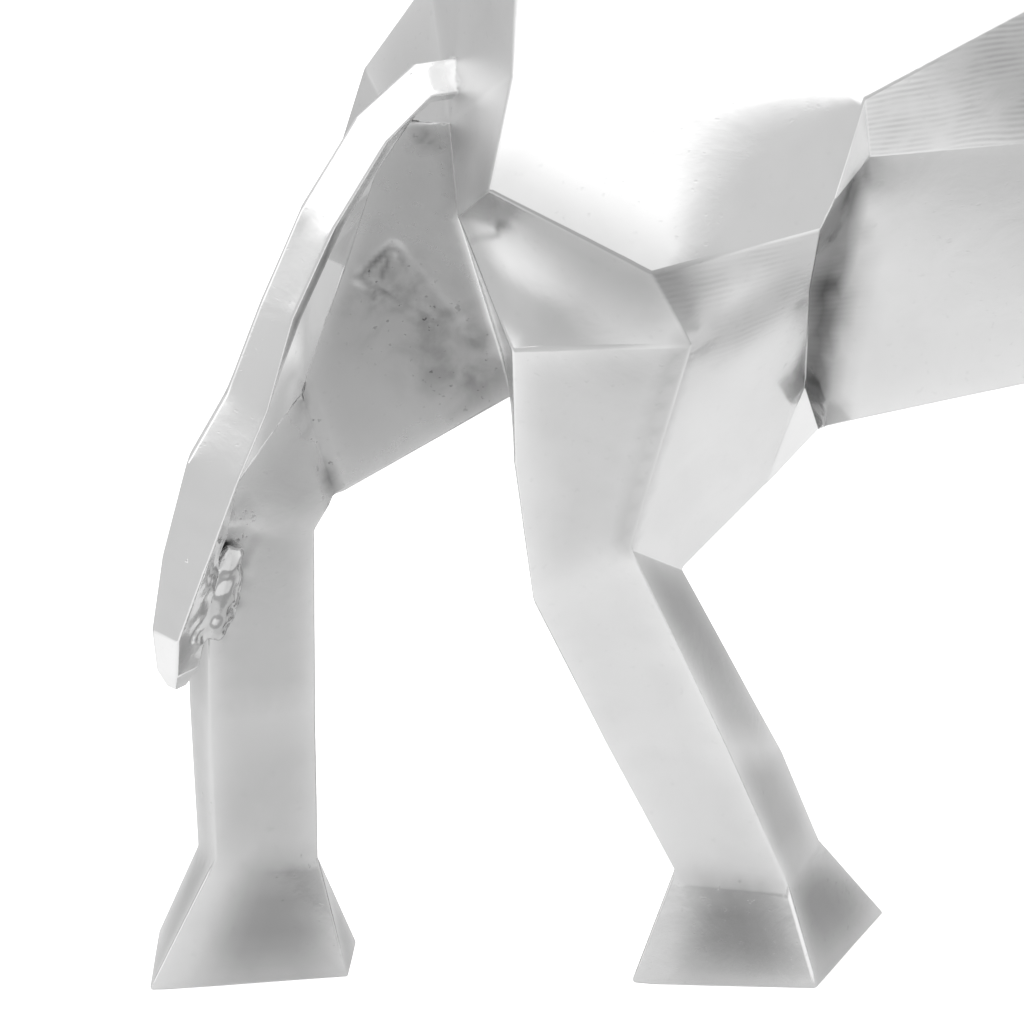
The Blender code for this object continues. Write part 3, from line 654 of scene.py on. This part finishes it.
def marks(places, edges, normals):  # seams blended, grooves pressed in, a slight waviness
    for x, y, z, radius, rounds in seamSpots:
        apart = np.linalg.norm(places - np.array((x, y, z)) * share, axis=1)
        near = np.clip(seamFade * (1 - apart / (radius * share)), 0, 1)[:, None]
        for _ in range(rounds):
            places = places + (neighbourMean(places, edges) - places) * near
    for start, end, width, depth in grooves:
        radius = width * grooveStyle["reach"] / (share * 1000)
        places = places - normals * (nearStroke(places, start, end, radius) * depth / 1000)[:, None]
    weld = nearStroke(places, weldLumps["from"], weldLumps["to"], weldLumps["radius"])
    swell = np.array([lumps(place, waves["length"]) for place in places]) * waves["depth"]
    rough = np.array([lumps(place, weldLumps["length"]) if near > 0 else 0
                      for place, near in zip(places, weld)])
    return places + normals * ((swell + rough * weld * weldLumps["depth"]) / 1000)[:, None]


def bullPiece():  # the whole casting in one mesh
    keys, corners, facets, kinds = bodyShape()
    cage = (corners, facets, kinds)
    piece = bpy.data.objects.new("castBull", castSurface("castBull", keys, corners, facets, body))
    bpy.context.scene.collection.objects.link(piece)
    joined = [("tail", tailBar, left), ("weld", weldBar, left)]
    for word, spec in (("horn", hornBar), ("ear", earBar)):
        joined += [(word, spec, right), (word, spec, left)]
    for number, (word, spec, side) in enumerate(joined):
        corners, facets = barShape(spec, side)
        keys = [(word, side)] * len(corners)
        mesh = castSurface(word + str(number), keys, corners, facets, fittedPart)
        extra = bpy.data.objects.new(mesh.name, mesh)
        bpy.context.scene.collection.objects.link(extra)
        union = piece.modifiers.new(word, "BOOLEAN")
        union.operation = "UNION"
        union.object = extra
    bpy.context.view_layer.update()
    shaped = bpy.data.meshes.new_from_object(piece.evaluated_get(bpy.context.evaluated_depsgraph_get()))
    extras = [modifier.object for modifier in piece.modifiers]
    piece.modifiers.clear()
    for extra in extras:
        bpy.data.objects.remove(extra)
    piece.data = shaped
    refineSpots(shaped)
    places, edges, normals = meshArrays(shaped)
    paintFinishAndShading(shaped, places, edges, *cage)
    places = marks(places, edges, normals)
    middle = (places.min(0) + places.max(0)) / 2
    places -= (middle[0] - (cadBox[0].x + cadBox[1].x) / 2, middle[1] - (cadBox[0].y + cadBox[1].y) / 2, 0)
    places = np.clip(places, cadBox[0], cadBox[1])  # the soles stay flat
    shaped.vertices.foreach_set("co", places.ravel())
    shaped.polygons.foreach_set("use_smooth", [True] * len(shaped.polygons))
    shaped.update()
    weighted = piece.modifiers.new("flat facets", "WEIGHTED_NORMAL")
    weighted.mode = "FACE_AREA"
    print("bull joined,", len(shaped.polygons), "faces, moved", [round(float(v) * 1000, 2) for v in middle])
    return piece


class Wire:  # a node's socket that can stand in a Python expression
    def __init__(self, tree, socket):
        self.tree = tree
        self.socket = socket

    def math(self, operation, *values):
        return addNode(self.tree, "ShaderNodeMath", {"operation": operation}, dict(enumerate(values)))

    def __add__(self, other):
        return self.math("ADD", self, other)

    def __sub__(self, other):
        return self.math("SUBTRACT", self, other)

    def __rsub__(self, other):
        return self.math("SUBTRACT", other, self)

    def __mul__(self, other):
        return self.math("MULTIPLY", self, other)

    __radd__ = __add__
    __rmul__ = __mul__

    def above(self, low, high):  # 0 below low, 1 over high, smooth between
        return addNode(self.tree, "ShaderNodeMapRange", {"interpolation_type": "SMOOTHSTEP"},
                       {"Value": self, "From Min": low, "From Max": high})


def addNode(tree, kind, settings, sockets, output=0):
    node = tree.nodes.new(kind)
    for name, value in settings.items():
        setattr(node, name, value)
    for name, value in sockets.items():
        if isinstance(value, Wire):
            tree.links.new(value.socket, node.inputs[name])
        else:
            node.inputs[name].default_value = value
    return Wire(tree, node.outputs[output])


mixSockets = {"first": 6, "second": 7, "result": 2}  # where the Mix node has its colours


def blendColours(tree, factor, first, second):
    return addNode(tree, "ShaderNodeMix", {"data_type": "RGBA"},
                   {"Factor": factor, mixSockets["first"]: first, mixSockets["second"]: second},
                   output=mixSockets["result"])


def grey(level):
    return (level, level, level, 1)


metal = {
    "clean": 0.92, "dull": 0.82, "dirty": 0.2,  # greys
    "dullShare": 0.4, "stainBase": 0.15, "stainPatch": 0.55, "stainPit": 0.5,
    "pitsClean": 0.1, "pitsDirty": 0.9,
    "grainPitch": 1.1, "grainSway": 16, "grainDepth": 0.2,  # sanding lines, the pitch in millimetres
    "roughness": 0.1, "broadRough": 0.06, "pitRough": 0.02, "stainRough": 0.25,
    "bump": 0.25, "bumpDepth": 0.0002, "bumpPits": 0.1,
}
patterns = {  # cells per metre, detail and distortion
    "broad": (22, 3, 0), "patches": (1000 / 11, 4, 0.6), "pits": (1000 / 1.2, 2, 0),
    "smudges": (150, 5, 0.4), "worn": (160, 2, 0), "sway": (48, 2, 0),
}
spans = {  # the values between which a pattern goes from none to full
    "broad": (0.3, 0.8), "patches": (0.35, 0.8), "pits": (0.66, 0.72), "smudges": (0.35, 0.7),
    "worn": (0.3, 0.7),
}


def surfaceNoise(tree, place, word):
    scale, detail, distortion = patterns[word]
    return addNode(tree, "ShaderNodeTexNoise", {},
                   {"Vector": place, "Scale": scale, "Detail": detail, "Distortion": distortion})


def polishedAluminium():
    material = bpy.data.materials.new("polishedAluminium")
    material.use_nodes = True
    tree = material.node_tree
    shader = tree.nodes["Principled BSDF"]
    place = addNode(tree, "ShaderNodeTexCoord", {}, {}, output="Object")
    paintedShading, grain, dirt, dull = [
        addNode(tree, "ShaderNodeAttribute", {"attribute_name": word}, {}, output="Fac")
        for word in ("paintedShading", "grain", "dirt", "satin")]
    broad, cloudy, fine, smudge, worn, sway = [surfaceNoise(tree, place, word) for word in patterns]
    height = addNode(tree, "ShaderNodeSeparateXYZ", {}, {0: place}, output="Z")
    phase = height * (math.tau * 1000 / metal["grainPitch"]) + sway * metal["grainSway"]
    lines = (phase.math("SINE", phase) * 0.5 + 0.5) * worn.above(*spans["worn"]) * grain * metal["grainDepth"]
    patchy = blendColours(tree, cloudy.above(*spans["patches"]) * metal["dullShare"],
                          grey(metal["clean"]), grey(metal["dull"]))
    pits = fine.above(*spans["pits"]) * (dirt * metal["pitsDirty"] + metal["pitsClean"])
    # the dirt attribute also carries the painted shade at the far hoof's foot
    stained = dirt * (smudge.above(*spans["smudges"]) * metal["stainPatch"] + metal["stainBase"])
    stained = stained + pits * metal["stainPit"]
    colour = blendColours(tree, stained, patchy, grey(metal["dirty"]))
    # the painted shading darkens the metal's colour, and the sanding lines with it
    colour = blendColours(tree, paintedShading * (1 - lines), grey(0), colour)
    roughness = metal["roughness"] + broad.above(*spans["broad"]) * metal["broadRough"]
    roughness = roughness + fine * metal["pitRough"] + stained * metal["stainRough"] + dull
    bump = addNode(tree, "ShaderNodeBump", {}, {
        "Strength": metal["bump"], "Distance": metal["bumpDepth"],
        "Height": cloudy + fine * metal["bumpPits"] - pits})
    tree.links.new(colour.socket, shader.inputs["Base Color"])
    tree.links.new(roughness.socket, shader.inputs["Roughness"])
    tree.links.new(bump.socket, shader.inputs["Normal"])
    shader.inputs["Metallic"].default_value = 1
    print("metal", material.name, "with", len(tree.nodes), "nodes")
    return material


view = {
    "azimuth": -18, "elevation": 25, "distance": 1.3, "target": (-0.115282, 0, 0.081393),
    "pixelsPerRadian": 7912, "pictureWidth": 1024, "sensorWidth": 36,
}


def aimCamera():
    azimuth = math.radians(view["azimuth"])
    elevation = math.radians(view["elevation"])
    back = Vector((math.sin(azimuth) * math.cos(elevation), -math.cos(azimuth) * math.cos(elevation),
                   math.sin(elevation)))
    camera = bpy.data.objects.new("camera", bpy.data.cameras.new("camera"))
    bpy.context.scene.collection.objects.link(camera)
    camera.location = Vector(view["target"]) + back * view["distance"]
    camera.rotation_euler = (-back).to_track_quat("-Z", "Y").to_euler()
    camera.data.sensor_width = view["sensorWidth"]
    camera.data.lens = view["pixelsPerRadian"] * view["sensorWidth"] / view["pictureWidth"]
    bpy.context.scene.camera = camera
    print("camera with a lens of", round(camera.data.lens), "mm")


room = {
    "floorHalf": 4, "nearFloor": 0.86, "farFloor": 0.55, "paperWhite": 0.75,
    # a painted pool of light: the floor's colour is bright round the bull and darker farther off
    "paintedPool": (-0.03, -0.02), "poolSize": (0.36, 0.17), "poolFade": (0.7, 1.2),
    "horizon": 0.74, "softbox": 1.25, "softboxEdge": (-0.02, 0.13),
    # a grey card behind the bull
    "screen": (-0.5, 0.86, 0.1), "screenEdge": (0.75, 0.92), "screenShade": 0.28,
    # grey gaps between the lamps
    "panels": ((0.92, -0.15, 0.36), (0.5, 0.8, 0.35), (-0.83, 0.4, 0.38)),
    "panelEdge": (0.9, 0.985), "panelShade": 0.42,
}


def paleFloor():
    half = room["floorHalf"]
    floorMesh = bpy.data.meshes.new("floor")
    floorMesh.from_pydata([(-half, -half, 0), (half, -half, 0), (half, half, 0), (-half, half, 0)], [],
                          [(0, 1, 2, 3)])
    floor = bpy.data.objects.new("floor", floorMesh)
    bpy.context.scene.collection.objects.link(floor)
    paper = bpy.data.materials.new("paleFloor")
    paper.use_nodes = True
    tree = paper.node_tree
    shader = tree.nodes["Principled BSDF"]
    place = addNode(tree, "ShaderNodeTexCoord", {}, {}, output="Object")
    (x, y), (length, breadth) = room["paintedPool"], room["poolSize"]
    scaled = addNode(tree, "ShaderNodeVectorMath", {"operation": "DIVIDE"},
                     {0: place, 1: (length, breadth, 1)}, output="Vector")
    apart = addNode(tree, "ShaderNodeVectorMath", {"operation": "DISTANCE"},
                    {0: scaled, 1: (x / length, y / breadth, 0)}, output="Value")
    # the painted pool of light in the floor's colour
    colour = blendColours(tree, apart.above(*room["poolFade"]),
                          grey(room["nearFloor"]), grey(room["farFloor"]))
    tree.links.new(colour.socket, shader.inputs["Base Color"])
    shader.inputs["Roughness"].default_value = 1
    shader.inputs["Specular IOR Level"].default_value = 0
    seen = addNode(tree, "ShaderNodeLightPath", {}, {}, output="Is Camera Ray")
    shader.inputs["Emission Color"].default_value = grey(1)
    tree.links.new((seen * room["paperWhite"]).socket, shader.inputs["Emission Strength"])
    floor.data.materials.append(paper)
    print("floor", 2 * half, "m wide")


def whiteSky():
    world = bpy.data.worlds.new("room")
    world.use_nodes = True
    tree = world.node_tree
    way = addNode(tree, "ShaderNodeTexCoord", {}, {}, output="Generated")
    height = addNode(tree, "ShaderNodeSeparateXYZ", {}, {0: way}, output="Z")
    light = room["horizon"] + height.above(*room["softboxEdge"]) * (room["softbox"] - room["horizon"])
    shades = [(room["screen"], room["screenEdge"], room["screenShade"])]
    shades += [(panel, room["panelEdge"], room["panelShade"]) for panel in room["panels"]]
    for heading, edge, shade in shades:
        facing = addNode(tree, "ShaderNodeVectorMath", {"operation": "DOT_PRODUCT"}, {0: way, 1: heading},
                         output="Value")
        light = light * (1 - facing.above(*edge) * shade)
    seen = addNode(tree, "ShaderNodeLightPath", {}, {}, output="Is Camera Ray")
    strength = seen + (1 - seen) * light
    tree.links.new(strength.socket, tree.nodes["Background"].inputs["Strength"])
    tree.nodes["Background"].inputs["Color"].default_value = grey(1)
    bpy.context.scene.world = world
    bpy.context.scene.view_settings.view_transform = "Standard"
    print("sky with", len(shades), "grey shades")


castBull = bullPiece()
castBull.data.materials.clear()
castBull.data.materials.append(polishedAluminium())
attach(castBull, "root")
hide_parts("bull")
aimCamera()
paleFloor()
whiteSky()
